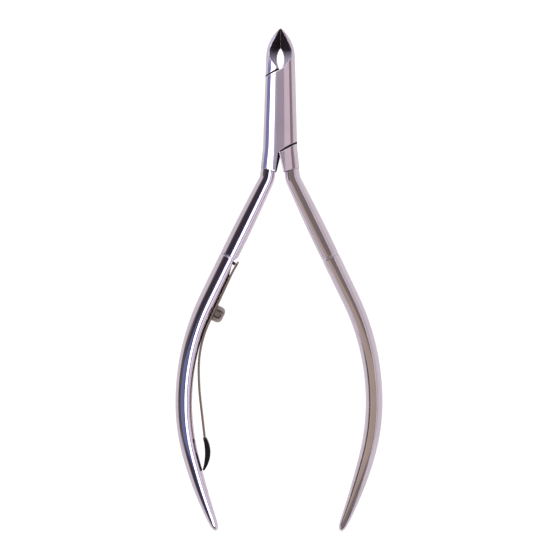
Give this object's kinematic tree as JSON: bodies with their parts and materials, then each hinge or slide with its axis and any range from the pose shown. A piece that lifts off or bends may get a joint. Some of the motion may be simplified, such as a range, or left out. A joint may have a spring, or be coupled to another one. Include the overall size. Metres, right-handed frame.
{
  "type": "cuticle nipper",
  "caption": "Lap-jointed steel cuticle nipper with flush rivet, bowed handles and a swinging leaf spring with a black nose.",
  "frame": {"origin": "on the pivot axis, in the plane of the back face, where the rivet's rear end is flush", "axes": "+Y from the pivot to the tip of the jaws, +Z out of the front face, +X towards the handle with no spring"},
  "size_m": [0.0434, 0.105, 0.0052],
  "materials": {
    "lever_steel": "mirror polished",
    "rivet_steel": "mirror polished",
    "spring_steel": "polished",
    "screw_steel": "polished",
    "pin_steel": "darkened",
    "black_plastic": "gloss"
  },
  "bodies": {
    "front": {"front_lever": "lever_steel", "pivot_rivet": "rivet_steel", "spring_screw": "screw_steel", "locating_pin": "pin_steel"},
    "rear": {"rear_lever": "lever_steel"},
    "spring": {"leaf_spring": "spring_steel", "spring_nose": "black_plastic"}
  },
  "joints": [
    {"name": "jaw_pivot", "type": "hinge", "parent": "front", "child": "rear", "pos_m": [0, 0, 0.0026], "axis": [0, 0, 1], "range_deg": [0, 13]},
    {"name": "spring_swivel", "type": "hinge", "parent": "front", "child": "spring", "pos_m": [-0.01371, -0.0422, 0.0026], "axis": [-0.9085, 0.4179, 0], "range_deg": [0, 180], "deforming": ["leaf_spring", "spring_nose"]}
  ]
}
